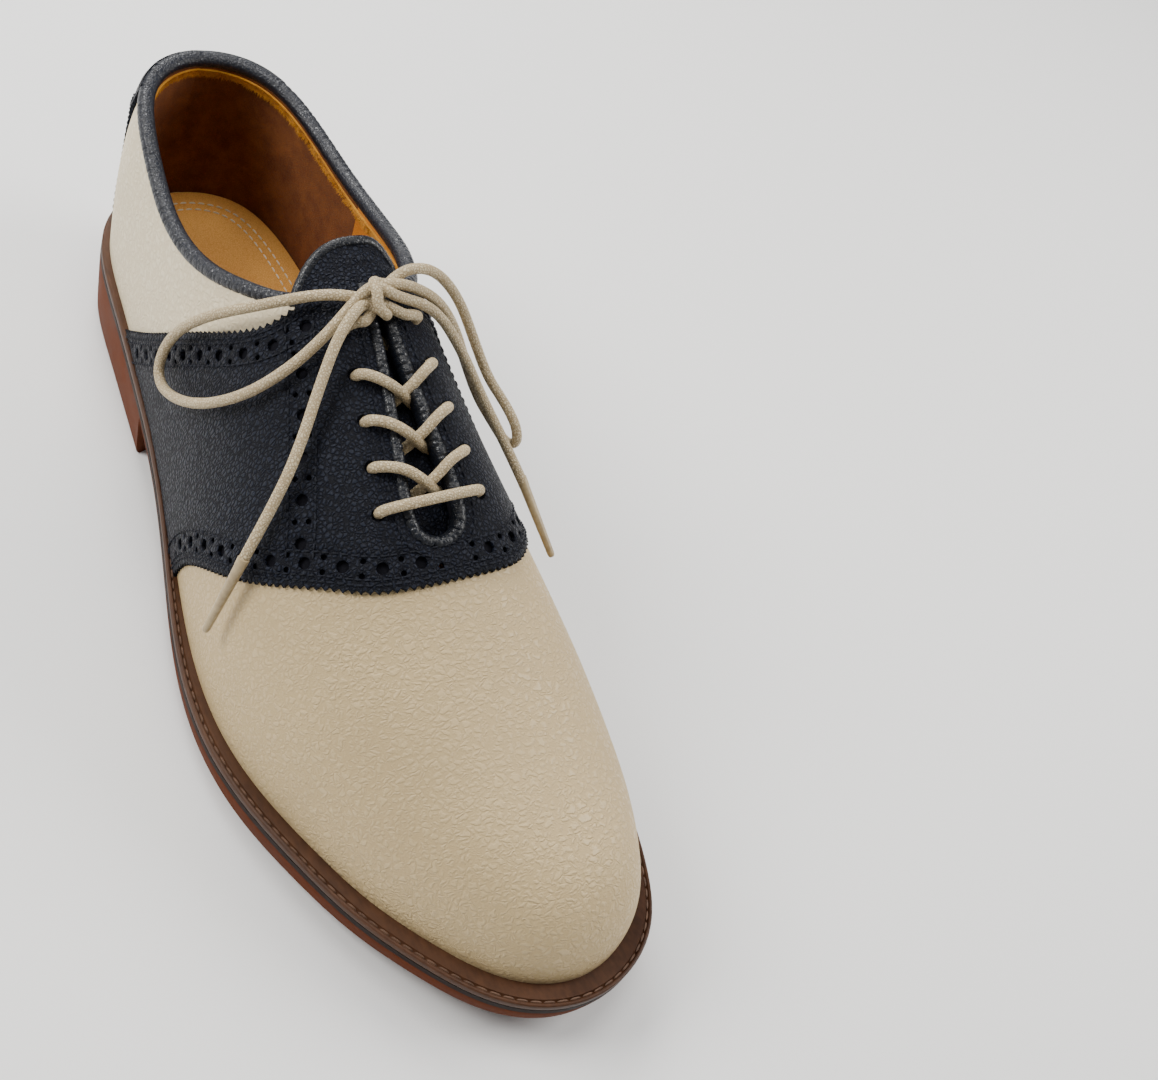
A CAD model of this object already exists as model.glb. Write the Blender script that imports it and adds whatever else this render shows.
import math
import bmesh
import bpy
import numpy as np
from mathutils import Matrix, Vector
from mathutils.geometry import delaunay_2d_cdt
from mathutils.kdtree import KDTree


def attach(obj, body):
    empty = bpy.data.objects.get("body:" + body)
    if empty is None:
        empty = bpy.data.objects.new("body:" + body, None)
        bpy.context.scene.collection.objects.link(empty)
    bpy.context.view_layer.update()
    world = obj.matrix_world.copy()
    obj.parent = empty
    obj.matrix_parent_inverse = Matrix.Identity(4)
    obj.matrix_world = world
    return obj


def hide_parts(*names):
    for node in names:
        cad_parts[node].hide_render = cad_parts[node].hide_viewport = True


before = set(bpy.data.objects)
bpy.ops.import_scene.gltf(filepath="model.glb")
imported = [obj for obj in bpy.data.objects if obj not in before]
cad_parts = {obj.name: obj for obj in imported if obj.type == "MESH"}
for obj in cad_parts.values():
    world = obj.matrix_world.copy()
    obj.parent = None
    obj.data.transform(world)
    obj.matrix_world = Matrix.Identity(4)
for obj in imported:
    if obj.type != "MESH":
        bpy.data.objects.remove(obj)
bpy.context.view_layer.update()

# Right-foot saddle shoe: +X toe, +Y medial, +Z up.  Shapes are worked out in millimetres and
# become metres in Sheet.piece().
MM = 0.001

# ---------------------------------------------------------------- shape of the upper, as in the CAD
HEEL, TOE = -149.0, 145.5
WELT_T, MID_T, GAP = 2.6, 2.0, 0.05
LATERAL = [(-149, 3), (-141, -16.5), (-125, -25.5), (-100, -29.5), (-70, -33), (-40, -37), (-10, -43),
           (20, -48.5), (45, -49.5), (65, -46.5), (85, -40.5), (105, -32.5), (122, -22.5), (135, -12.5),
           (142.5, -2.5), (145.5, 10)]
MEDIAL = [(-149, 3), (-141, 24), (-125, 32.5), (-100, 36), (-70, 37), (-40, 36), (-10, 36.5), (20, 41.5),
          (45, 47), (65, 49.5), (85, 49), (105, 46), (122, 40.5), (135, 33), (142.5, 23), (145.5, 10)]
FEATHER = [(-149, 27), (-100, 25.5), (-60, 22), (-20, 15.5), (20, 12), (50, 12), (80, 14), (110, 16.5),
           (145.5, 21)]
RIDGE = [(-149, 142), (-110, 137), (-80, 127), (-50, 113.5), (-28, 104.5), (0, 94.5), (30, 83), (60, 69),
         (90, 57.5), (115, 50.5), (130, 44.5), (138.5, 37.5), (143.5, 29.5), (145.5, 21)]
RIDGE_Y = [(-149, 3), (-60, 5.5), (0, 4), (45, 3), (85, 6), (120, 9.5), (145.5, 10)]
HEEL_CURVE = [(0, 0), (25, 2.2), (45, 1.0), (62, -3.5), (122, -26)]
TOP_LATERAL = [(-170, 87.5), (-149, 86), (-120, 83.5), (-90, 78), (-60, 84.5), (-40, 94.5), (-30, 101),
               (-26.5, 107), (-25.5, 118)]
TOP_MEDIAL = [(-170, 88), (-149, 86), (-120, 82), (-90, 82), (-60, 90), (-40, 98), (-30, 102.5),
              (-26.5, 108), (-25.5, 118)]
SOLE_EDGE = [(-149, 2.5), (-60, 2.2), (-20, 2.4), (30, 4.2), (100, 5.6), (145.5, 6.5)]
TREAD = [(-66, 13.5), (-30, 6.5), (0, 1.8), (25, 0.25), (45, 0), (65, 0.4), (90, 2.8), (120, 6.5),
         (158, 11.8)]
SADDLE_FRONT = [(-8, 5), (-3, 22), (21, 49), (34, 60.7), (43, 67.6), (49, 71), (53, 76), (54, 95)]
SADDLE_REAR = [(-112, 5), (-92, 24), (-71, 44.5), (-46, 70.7), (-33, 84), (-28, 92), (-28, 100), (-29, 118)]
PATCH_FRONT = [(-136, 10), (-137.5, 28), (-141, 45), (-141.5, 58), (-139, 68), (-134.5, 75), (-133, 95)]
LINING_D = (2.35, 3.4)
LINE_FRONT = [(-25, 5), (0, 45), (14, 70), (20, 100)]
LINE_BACK = [(-88, 5), (-84, 60), (-80, 110)]
EYELETS = [(-16, 10.2), (-4, 11.0), (8, 12.0), (19.5, 13.4), (31, 14.8)]
SLOT = [(-60, 0.5), (-26, 0.5), (-12, 0.9), (4, 2.4), (18, 4.1), (32, 5.6)]
SLOT_TIP = 39.5
THROAT_BACK, THROAT_HALF = -60, 5.0
TOP = {-1: TOP_LATERAL, 1: TOP_MEDIAL}
BREAST_X = -62.0
# Studs: centre, scale and the radius that their moats keep clear.
PODS = [(*at, 1.0, 10.8) for at in ((46, -14), (75, -4), (104, 5), (50, 22), (79, 25), (107, 28),
                                    (16, -16), (21, 27))]
PODS += [(*at, 1.2, 12.6) for at in ((-105, -15), (-105, 19))]


def travelled(points):
    """Distance along a line at each of its points."""
    return np.append(0, np.cumsum(np.linalg.norm(np.diff(points, axis=0), axis=1)))


def unit(v):
    return v / np.maximum(np.linalg.norm(v, axis=-1, keepdims=True), 1e-12)


def resampled(at, run, points):
    """Points of a line read again at given distances along it."""
    return np.stack([np.interp(at, run, column) for column in np.asarray(points).T], -1)


def turns(n):
    """Angles of n even steps round a circle."""
    return np.arange(n) / n * 2 * np.pi


def stacked(*columns):
    return np.stack(columns, -1)


def natural(points, key=lambda x: x):
    """Smooth curve through (x, value) points."""
    xs = np.array([key(p[0]) for p in points], float)
    ys = np.array([p[1] for p in points], float)
    n = len(xs)
    h = np.diff(xs)
    a = np.zeros((n, n))
    r = np.zeros(n)
    a[0, 0] = a[-1, -1] = 1
    for i in range(1, n - 1):
        a[i, i - 1:i + 2] = h[i - 1], 2 * (h[i - 1] + h[i]), h[i]
        r[i] = 6 * ((ys[i + 1] - ys[i]) / h[i] - (ys[i] - ys[i - 1]) / h[i - 1])
    m = np.linalg.solve(a, r)

    def curve(x):
        x = np.asarray(x, float)
        i = np.clip(np.searchsorted(xs, x) - 1, 0, n - 2)
        d = xs[i + 1] - x
        e = x - xs[i]
        w = h[i]
        bend = (m[i] * d**3 + m[i + 1] * e**3) / (6 * w)
        return bend + (ys[i] / w - m[i] * w / 6) * d + (ys[i + 1] / w - m[i + 1] * w / 6) * e

    return curve


def share(x):
    """0 at the heel, 1 at the toe, evenly round the ends."""
    return np.arccos(np.clip(1 - 2 * (np.asarray(x, float) - HEEL) / (TOE - HEEL), -1, 1)) / np.pi


def station(s):
    """The station that has the given share."""
    return HEEL + (TOE - HEEL) * (1 - np.cos(np.pi * np.asarray(s))) / 2


lateral = natural(LATERAL, share)
medial = natural(MEDIAL, share)
ridge = natural(RIDGE, share)
feather = natural(FEATHER)
ridge_y = natural(RIDGE_Y)
heel_curve = natural(HEEL_CURVE)
sole_edge = natural(SOLE_EDGE)
tread = natural(TREAD)


RISE, BULGE = 1.075, {-1: 2.25, 1: 2.5}
BEND_START, BEND_RUN = -20, 110


def bent(x):
    """How far the heel's lean has set in: 0 in front, 1 at the back."""
    t = np.clip((BEND_START - x) / BEND_RUN, 0, 1)
    return t * t * (3 - 2 * t)


def skin(x0, phi, d=0.0):
    """Upper's skin moved inward by d: station x0, phi -1 lateral feather, 0 ridge, 1 medial feather."""
    x0, phi, d = np.broadcast_arrays(np.asarray(x0, float), phi, d)
    s = share(x0)
    base = feather(x0)
    crown = np.maximum(ridge(s) - d, base + 0.01)
    angle = (1 - np.abs(phi)) * np.pi / 2
    cosine = np.clip(np.cos(angle), 0, 1)
    z = base + (crown - base) * np.clip(np.sin(angle), 0, 1) ** (1 / RISE)
    yc = ridge_y(x0)
    grow = d * np.sin(np.pi * s) ** 0.3
    y = np.where(phi < 0, yc - (yc - lateral(s) - grow) * cosine ** (2 / BULGE[-1]),
                 yc + (medial(s) - yc - grow) * cosine ** (2 / BULGE[1]))
    x = HEEL + d + (x0 - HEEL) / (TOE - HEEL) * (TOE - HEEL - 2 * d)
    x = x - heel_curve(np.maximum(z - base, 0)) * bent(x)
    return stacked(x, y, z)


# Distances on the skin, looked up by station share and by |phi| or by share of the girth.
N_S, N_P = 360, 400
ROWS = np.arange(N_S + 1)
_phis = np.linspace(0, 1, N_P + 1)
_stations = station(ROWS / N_S)
FORWARD, INVERSE, GIRTH, ARC = {}, {}, {}, {}
for side in (-1, 1):
    grid = skin(_stations[:, None], side * np.maximum(_phis, 1e-9)[None, :])
    run = np.cumsum(np.linalg.norm(np.diff(grid, axis=1), axis=2), axis=1)
    run = np.concatenate([np.zeros((N_S + 1, 1)), run], axis=1)
    FORWARD[side] = run
    GIRTH[side] = run[:, -1]
    INVERSE[side] = np.array([np.interp(_phis, row / row[-1], _phis) if row[-1] > 0 else _phis
                              for row in run])
    foot = stacked(_stations, (lateral if side < 0 else medial)(ROWS / N_S))
    ARC[side] = travelled(foot)


def between(table, i, k):
    """Bilinear look-up at fractional rows and columns."""
    i0 = np.clip(np.floor(i).astype(int), 0, table.shape[0] - 2)
    k0 = np.clip(np.floor(k).astype(int), 0, table.shape[1] - 2)
    fi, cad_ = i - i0, k - k0
    low = table[i0, k0] * (1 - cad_) + table[i0, k0 + 1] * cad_
    high = table[i0 + 1, k0] * (1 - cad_) + table[i0 + 1, k0 + 1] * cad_
    return low * (1 - fi) + high * fi


def girth(x0, side):
    """Distance over the skin from the ridge to the feather."""
    return np.interp(share(x0) * N_S, ROWS, GIRTH[side])


def girth_at(x0, phi, side):
    """Distance over the skin from the ridge to a given |phi|."""
    return between(FORWARD[side], share(x0) * N_S, phi * N_P)


def by_side(tables, look, mask):
    """look(table) for the medial points, and for the lateral ones."""
    return np.where(mask, look(tables[1]), look(tables[-1]))


def by_share(x0, row, part, on_medial, d):
    """Skin by station and share of the girth from the ridge."""
    phi = by_side(INVERSE, lambda t: between(t, row, np.clip(part, 0, 1) * N_P), on_medial)
    return skin(x0, np.where(on_medial, phi, -np.maximum(phi, 1e-9)), d)


def instep(x0, g, d=0.0):
    """Skin by station and distance from the ridge line, medial positive."""
    x0, g, d = np.broadcast_arrays(np.asarray(x0, float), g, d)
    row = share(x0) * N_S
    full = by_side(GIRTH, lambda t: np.interp(row, ROWS, t), g >= 0)
    return by_share(x0, row, np.abs(g) / np.maximum(full, 1e-6), g >= 0, d)


def flank(a, h, d=0.0):
    """Skin by distance round the heel, medial positive, and height along the side from the feather."""
    a, h, d = np.broadcast_arrays(np.asarray(a, float), h, d)
    row = by_side(ARC, lambda t: np.interp(np.abs(a), t, ROWS), a >= 0)
    full = by_side(GIRTH, lambda t: np.interp(row, ROWS, t), a >= 0)
    return by_share(station(row / N_S), row, 1 - h / np.maximum(full, 1e-6), a >= 0, d)


instep.outward, flank.outward = 1.0, -1.0


def side_view(x, z):
    """Station row and |phi| of the skin's point that shows at (x, z) in side view."""
    x, z = np.asarray(x, float), np.asarray(z, float)
    x0 = x.copy()
    for _ in range(12):
        x0 = x + heel_curve(np.maximum(z - feather(x0), 0)) * bent(x0)
    x0 = np.clip(x0, HEEL, TOE)
    base = feather(x0)
    rise = np.clip((z - base) / (ridge(share(x0)) - base), 0, 1)
    return x0, 1 - 2 * np.arcsin(rise ** RISE) / np.pi


def round_heel(x0, g, side):
    """Flank coordinates of a station and a distance from the ridge."""
    return stacked(side * np.interp(share(x0) * N_S, ROWS, ARC[side]), girth(x0, side) - g)


def on_instep(x, z, side):
    x0, phi = side_view(x, z)
    return stacked(x0, side * girth_at(x0, phi, side))


def on_flank(x, z, side):
    x0, phi = side_view(x, z)
    return round_heel(x0, girth_at(x0, phi, side), side)


def throat_centre(x):
    return 3.0 - 0.035 * (x + 16)


def plan_phi(x0, y):
    """phi of the skin above a plan point of the instep, at depth 0."""
    s = share(x0)
    yc = ridge_y(x0)
    half = np.where(y < yc, yc - lateral(s), medial(s) - yc)
    power = np.where(y < yc, BULGE[-1], BULGE[1])
    angle = np.arccos(np.clip(np.abs(y - yc) / half, 0, 1) ** (power / 2))
    return np.where(y < yc, -1, 1) * (1 - 2 * angle / np.pi)


def above(x, y, d):
    """Point at depth d along the skin's normal under the plan point (x, y) of the instep."""
    x, y, d = np.broadcast_arrays(np.asarray(x, float), y, d)
    p = skin(x, plan_phi(x, y))
    e = 0.4
    du = skin(x + e, plan_phi(x + e, y)) - skin(x - e, plan_phi(x - e, y))
    dv = skin(x, plan_phi(x, y + e)) - skin(x, plan_phi(x, y - e))
    n = unit(np.cross(du, dv))
    return p - n * d[..., None], n


def surface_frame(surface, uv, d=0.0, e=0.25):
    """Points, the two surface directions and the outward normal."""
    u, v = uv[..., 0], uv[..., 1]
    du = (surface(u + e, v, d) - surface(u - e, v, d)) / (2 * e)
    dv = (surface(u, v + e, d) - surface(u, v - e, d)) / (2 * e)
    return surface(u, v, d), du, dv, unit(np.cross(du, dv)) * surface.outward


def shifted(surface, uv, vector):
    """Surface coordinates moved by a vector in space."""
    _, du, dv, _ = surface_frame(surface, uv)
    a, b, c = (du * du).sum(-1), (du * dv).sum(-1), (dv * dv).sum(-1)
    p, q = (du * vector).sum(-1), (dv * vector).sum(-1)
    det = np.maximum(a * c - b * b, 1e-9)
    return uv + stacked((c * p - b * q) / det, (a * q - b * p) / det)


def tangents(points):
    return unit(np.gradient(points, axis=0))


def spaced(surface, line, step=None, at=None):
    """A line of surface coordinates read again at even steps, or at given distances, in space."""
    run = travelled(surface(*line.T))
    if at is None:
        at = np.linspace(0, run[-1], max(2, int(round(run[-1] / step)) + 1))
    return resampled(at, run, line)


def line_length(surface, line):
    return np.linalg.norm(np.diff(surface(*line.T), axis=0), axis=1).sum()


def beside(surface, line, distance, sign):
    """A line of surface coordinates moved sideways on the surface."""
    steps = int(abs(distance) / 2) + 1
    for _ in range(steps):
        p, _, _, n = surface_frame(surface, line)
        line = shifted(surface, line, np.cross(n, tangents(p)) * sign * distance / steps)
    return line


def smooth_line(points, step=0.8):
    """Side-view or plan curve through its points, read at even steps."""
    xy = np.array(points, float)
    run = travelled(xy)
    t = np.linspace(0, run[-1], int(run[-1] / step) + 2)
    return stacked(*[natural(list(zip(run, column)))(t) for column in xy.T])


def moved(points, distance):
    """The same curve moved sideways along its normal, towards +X for an upward curve."""
    line = smooth_line(points)
    t = unit(np.gradient(line, axis=0))
    return line + stacked(t[:, 1], -t[:, 0]) * distance


def throat_phi(x0, side):
    """|phi| at the side of the lace opening."""
    return np.abs(plan_phi(x0, throat_centre(x0) + side * THROAT_HALF))


def phi_at_top(x0, side, drop):
    """|phi| where each station meets the collar's top line less a drop; never inside the throat."""
    line = moved(TOP[side], drop)
    low, high = np.full(np.shape(x0), 1e-6), np.full(np.shape(x0), 1.0)
    for _ in range(40):
        mid = (low + high) / 2
        p = skin(x0, side * mid)
        over = p[..., 2] > np.interp(p[..., 0], *line.T)
        low, high = np.where(over, mid, low), np.where(over, high, mid)
    return np.maximum(high, np.where(np.asarray(x0) > THROAT_BACK, throat_phi(x0, side), 0))


# ---------------------------------------------------------------- mesh building
def placed(name, data):
    """New object in the scene."""
    made = bpy.data.objects.new(name, data)
    bpy.context.scene.collection.objects.link(made)
    return made


class Sheet:
    """Points in millimetres and faces gathered for one piece."""

    def __init__(self):
        self.points, self.faces, self.count = [], [], 0

    def add(self, points, faces):
        points = np.asarray(points, float).reshape(-1, 3)
        self.points.append(points)
        self.faces.append([tuple(i + self.count for i in face) for face in faces])
        self.count += len(points)

    def layer(self, outer, inner):
        """Closed layer between two equal grids of points."""
        rows, cols = outer.shape[:2]
        k = np.arange(rows * cols).reshape(rows, cols)
        quads = stacked(k[:-1, :-1], k[1:, :-1], k[1:, 1:], k[:-1, 1:]).reshape(-1, 4)
        m = rows * cols
        rim = np.concatenate([k[0, :], k[1:, -1], k[-1, -2::-1], k[-2:0:-1, 0]])
        after = np.roll(rim, -1)
        faces = np.concatenate([quads, quads[:, ::-1] + m, stacked(rim, after, after + m, rim + m)])
        self.add(np.concatenate([outer.reshape(-1, 3), inner.reshape(-1, 3)]), faces.tolist())

    def lidded(self, top, bottom, faces):
        """Closed plate between two equal sets of points with the same triangles."""
        m = len(top)
        walls = [(a, a + m, b + m, b) for a, b in sorted(rim_of(faces))]
        self.add(np.concatenate([top, bottom]), faces.tolist() + (faces[:, ::-1] + m).tolist() + walls)

    def rings(self, rings, closed=False):
        """Tube through a list of equal rings, with its ends filled unless it closes on itself."""
        rings = np.asarray(rings)
        n, m = rings.shape[:2]
        k = np.arange(n * m).reshape(n, m)
        if closed:
            k = np.concatenate([k, k[:1]], axis=0)
        k = np.concatenate([k, k[:, :1]], axis=1)
        quads = stacked(k[:-1, :-1], k[:-1, 1:], k[1:, 1:], k[1:, :-1]).reshape(-1, 4).tolist()
        if not closed:
            quads += [list(range(m))[::-1], [(n - 1) * m + i for i in range(m)]]
        self.add(rings, quads)

    def piece(self, name, material, slot, body="shoe", sharp=50.0):
        """Finished object; it replaces the CAD node of the same name where there is one."""
        mesh = bpy.data.meshes.new(name)
        faces = [face for group in self.faces for face in group]
        mesh.from_pydata((np.concatenate(self.points) * MM).tolist(), [], faces)
        work = bmesh.new()
        work.from_mesh(mesh)
        bmesh.ops.remove_doubles(work, verts=work.verts, dist=1e-6)
        bmesh.ops.dissolve_degenerate(work, edges=work.edges, dist=1e-7)
        bmesh.ops.recalc_face_normals(work, faces=work.faces)
        work.to_mesh(mesh)
        work.free()
        mesh.shade_smooth()
        mesh.set_sharp_from_angle(angle=math.radians(sharp))
        mesh.materials.append(material)
        in_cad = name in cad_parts
        piece = placed(name + "_finished" if in_cad else name, mesh)
        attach(piece, body)
        if in_cad:
            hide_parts(name)
        return piece


def layered(name, material, slot, layers, body="shoe"):
    """Piece made of closed layers, each between an outer and an inner grid."""
    sheet = Sheet()
    for outer, inner in layers:
        sheet.layer(outer, inner)
    sheet.piece(name, material, slot, body, 60)


def inside(points, loop):
    """Which points lie in a closed loop."""
    result = np.zeros(len(points), bool)
    low, high = loop.min(0), loop.max(0)
    some = np.where(((points > low) & (points < high)).all(1))[0]
    x, y = points[some, 0], points[some, 1]
    odd = np.zeros(len(some), bool)
    for (x1, y1), (x2, y2) in zip(loop, np.roll(loop, -1, axis=0)):
        if y1 != y2:
            odd ^= ((y1 > y) != (y2 > y)) & (x < (x2 - x1) * (y - y1) / (y2 - y1) + x1)
    result[some] = odd
    return result


def within(points, loops):
    """Which points lie in the first loop and in none of the others."""
    keep = inside(points, loops[0])
    for hole in loops[1:]:
        keep &= ~inside(points, hole)
    return keep


def tree_of(points):
    tree = KDTree(len(points))
    for i, p in enumerate(points):
        tree.insert((p[0], p[1], 0), i)
    tree.balance()
    return tree


def distances(points, tree):
    return np.array([tree.find((p[0], p[1], 0))[2] for p in points])


def meshed(loops, extra, spacing):
    """Triangles that fill the first loop less the others: points, faces and distances to the edge."""
    edge = np.concatenate(loops)
    near = tree_of(edge)
    low, high = loops[0].min(0), loops[0].max(0)
    rows = np.arange(low[1], high[1], spacing * 0.866)
    cols = np.arange(low[0], high[0], spacing)
    grid = np.array([(x + (j % 2) * spacing / 2, y) for j, y in enumerate(rows) for x in cols])
    if len(extra):
        extra = extra[distances(extra, near) > 0.2]
        grid = grid[distances(grid, tree_of(extra)) > spacing * 0.45]
    grid = grid[distances(grid, near) > spacing * 0.5]
    free = np.concatenate([grid, extra]) if len(extra) else grid
    points = np.concatenate([edge, free[within(free, loops)]])
    edges, start = [], 0
    for loop in loops:
        n = len(loop)
        edges += [(start + i, start + (i + 1) % n) for i in range(n)]
        start += n
    made = delaunay_2d_cdt([Vector(p) for p in points], edges, [], 0, 1e-6)
    uv = np.array([tuple(v) for v in made[0]])
    faces = np.array(made[2])
    return uv, faces[within(uv[faces].mean(1), loops)], distances(uv, near)


def rim_of(faces):
    """Directed edges that only one triangle has."""
    pairs = np.concatenate([faces[:, [0, 1]], faces[:, [1, 2]], faces[:, [2, 0]]])
    have = set(map(tuple, pairs.tolist()))
    return [(a, b) for a, b in have if (b, a) not in have]


def plate(sheet, surface, loops, rows, extra):
    """Leather cut to an outline with holes and laid on the skin.  rows are stitch lines pressed into it."""
    lines = [np.concatenate([spaced(surface, beside(surface, row, off, 1), 0.9) for off in (-0.6, 0, 0.6)])
             for row in rows]
    extra = np.concatenate([*lines, *extra])
    uv, faces, gap = meshed(loops, extra, 1.5)
    along = np.concatenate([spaced(surface, row, 0.4) for row in rows])
    depth = OVERLAY[0] + EDGE_DIP * np.exp(-gap / EDGE_RUN)
    depth += SEAM_DIP * np.exp(-(distances(uv, tree_of(along)) / SEAM_RUN) ** 2)
    sheet.lidded(surface(*uv.T, depth), surface(*uv.T, OVERLAY[1]), faces)


def stitches(sheet, surface, line, depth, pitch=2.4, length=1.9, width=0.55, rise=0.24):
    """A row of thread stitches along a line of the skin."""
    total = line_length(surface, line)
    n = max(2, int(total / pitch))
    centres = spaced(surface, line, at=(np.arange(n) + 0.5) * total / n)
    p, _, _, normal = surface_frame(surface, centres, depth)
    grains(sheet, p, tangents(p), normal, length, width, rise)


def grains(sheet, points, along, normal, length, width, rise):
    """Short thread grains, each rounded and half sunk."""
    t = np.linspace(-1, 1, 7)
    angle = turns(6)
    across = unit(np.cross(normal, along))
    for p, a, c, n in zip(points, along, across, normal):
        swell = np.sqrt(np.clip(1 - np.abs(t) ** 2.6, 0.02, 1))
        rings = [p + a * x * length / 2 + w * (c * np.cos(angle)[:, None] * width / 2
                 + n * (np.sin(angle)[:, None] * width / 2)) + n * rise * w for x, w in zip(t, swell)]
        sheet.rings(rings)


def circle_on(surface, centre, radius, n):
    """Hole outline in surface coordinates, round in space."""
    c = np.repeat(np.asarray(centre, float)[None, :], n, axis=0)
    _, du, _, normal = surface_frame(surface, c)
    t = unit(du)
    b = np.cross(normal, t)
    angle = turns(n)
    return shifted(surface, c, radius * (t * np.cos(angle)[:, None] + b * np.sin(angle)[:, None]))


def punched(surface, line, ends=(4.0, 4.0), big=1.65, small=0.8, pitch=9.6):
    """Brogue row along a line: large holes with a pair of small ones between."""
    total = line_length(surface, line)
    n = max(1, int((total - sum(ends)) / pitch))
    at = ends[0] + (np.arange(n + 1)) * (total - sum(ends)) / n
    holes = [(c, big, LARGE_N) for c in spaced(surface, line, at=at)]
    mid = (at[:-1] + at[1:]) / 2
    row = spaced(surface, line, at=mid)
    points = surface(*line.T)
    along = unit(resampled(mid, travelled(points), tangents(points)))
    out = np.cross(surface_frame(surface, row)[3], along)
    for off in (-1.9, 1.9):
        holes += [(c, small, SMALL_N) for c in shifted(surface, row, out * off)]
    return holes


def gimped(surface, line, sign, pitch=2.3, depth=1.1):
    """Edge cut into small teeth; the line is their tips."""
    line = spaced(surface, line, pitch / 4)
    p, _, _, n = surface_frame(surface, line)
    cut = depth * np.array([0, 0.6, 1, 0.6])[np.arange(len(line)) % 4]
    return shifted(surface, line, np.cross(n, tangents(p)) * sign * cut[:, None])


# ---------------------------------------------------------------- materials
def new_material(name, roughness, specular=0.5):
    material = bpy.data.materials.new(name)
    material.use_nodes = True
    tree = material.node_tree
    shader = tree.nodes["Principled BSDF"]
    shader.inputs["Roughness"].default_value = roughness
    shader.inputs["Specular IOR Level"].default_value = specular
    return material, tree, shader


def wired(tree, made, inputs):
    """A node with each named input set to a value or linked to another node's output."""
    for key, value in inputs.items():
        if isinstance(value, bpy.types.NodeSocket):
            tree.links.new(value, made.inputs[key])
        else:
            made.inputs[key].default_value = value
    return made


def node(tree, kind, inputs, **settings):
    made = tree.nodes.new(kind)
    for key, value in settings.items():
        setattr(made, key, value)
    return wired(tree, made, inputs)


def noise(tree, coords, scale, detail, output="Fac"):
    made = node(tree, "ShaderNodeTexNoise", {"Vector": coords, "Scale": scale, "Detail": detail})
    return made.outputs[output]


def combined(tree, operation, *values):
    return node(tree, "ShaderNodeMath", dict(enumerate(values)), operation=operation).outputs[0]


def vectors(tree, operation, inputs):
    return node(tree, "ShaderNodeVectorMath", inputs, operation=operation).outputs[0]


def ramp(tree, source, dark, light):
    """Colour between two tones as the source goes from 0 to 1."""
    made = node(tree, "ShaderNodeValToRGB", {0: source})
    for element, at, colour in zip(made.color_ramp.elements, (0.0, 1.0), (dark, light)):
        element.position = at
        element.color = (*colour, 1)
    return made.outputs[0]


def scaled(tree, source, low, high, to_low, to_high, kind="LINEAR"):
    made = node(tree, "ShaderNodeMapRange", {0: source, 1: low, 2: high, 3: to_low, 4: to_high},
                interpolation_type=kind)
    return made.outputs[0]


def where(tree, stretch):
    """Object coordinates in metres, stretched."""
    coords = tree.nodes.new("ShaderNodeTexCoord").outputs["Object"]
    return node(tree, "ShaderNodeMapping", {"Vector": coords, "Scale": stretch}).outputs[0]


def finish(tree, shader, colour, roughness, height, distance):
    """Give a surface its colour, roughness and bump, the bump's height in metres."""
    bump = node(tree, "ShaderNodeBump", {"Height": height, "Strength": 1.0, "Distance": distance})
    wired(tree, shader, {"Base Color": colour, "Roughness": roughness, "Normal": bump.outputs[0]})


def leather(name, base, crease, scale, bump, roughness, stretch=(1, 1, 1), fine=0.25, mottle=0.12, cell=0.22,
            specular=0.4, warped=0.9):
    """Tumbled leather: irregular pebbles between creases, fine pores, uneven dye."""
    material, tree, shader = new_material(name, roughness, specular)
    coords = where(tree, stretch)
    warp = noise(tree, coords, scale * 0.8, 2.0, "Color")
    uneven = vectors(tree, "ADD", {0: coords, 1: vectors(tree, "SCALE", {0: warp, "Scale": warped / scale})})
    cells = node(tree, "ShaderNodeTexVoronoi", {"Vector": uneven, "Scale": scale}, feature="DISTANCE_TO_EDGE")
    pebbles = scaled(tree, cells.outputs["Distance"], 0.0, cell, 0.0, 1.0, "SMOOTHSTEP")
    big = noise(tree, coords, 28.0, 3.0)
    raised = combined(tree, "MULTIPLY", pebbles, scaled(tree, big, 0.3, 0.75, 0.55, 1.0))
    height = combined(tree, "MULTIPLY_ADD", noise(tree, coords, scale * 4, 3.0), fine, raised)
    mixed = {0: pebbles, 6: (*crease, 1), 7: (*base, 1)}
    tone = node(tree, "ShaderNodeMix", mixed, data_type="RGBA").outputs[2]
    shade = scaled(tree, big, 0.3, 0.7, 1.0 - mottle, 1.0 + mottle * 0.4)
    gloss = scaled(tree, pebbles, 0.0, 1.0, min(roughness + 0.2, 1.0), roughness)
    finish(tree, shader, vectors(tree, "SCALE", {0: tone, "Scale": shade}), gloss, height, bump)
    return material


def grained(name, dark, light, scale, bump, roughness, stretch=(1, 1, 1), sheen=0.0, specular=0.4):
    """Noise-toned surface for rubber, suede, cord, cork, board and thread."""
    material, tree, shader = new_material(name, roughness, specular)
    coords = where(tree, stretch)
    fine, broad = noise(tree, coords, scale, 5.0), noise(tree, coords, scale * 0.06, 3.0)
    colour = ramp(tree, scaled(tree, combined(tree, "ADD", fine, broad), 0.7, 1.3, 0.0, 1.0), dark, light)
    gloss = scaled(tree, broad, 0.3, 0.7, max(roughness - 0.08, 0.05), min(roughness + 0.1, 1.0))
    finish(tree, shader, colour, gloss, fine, bump)
    wired(tree, shader, {"Sheen Weight": sheen, "Sheen Roughness": 0.5})
    return material


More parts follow.
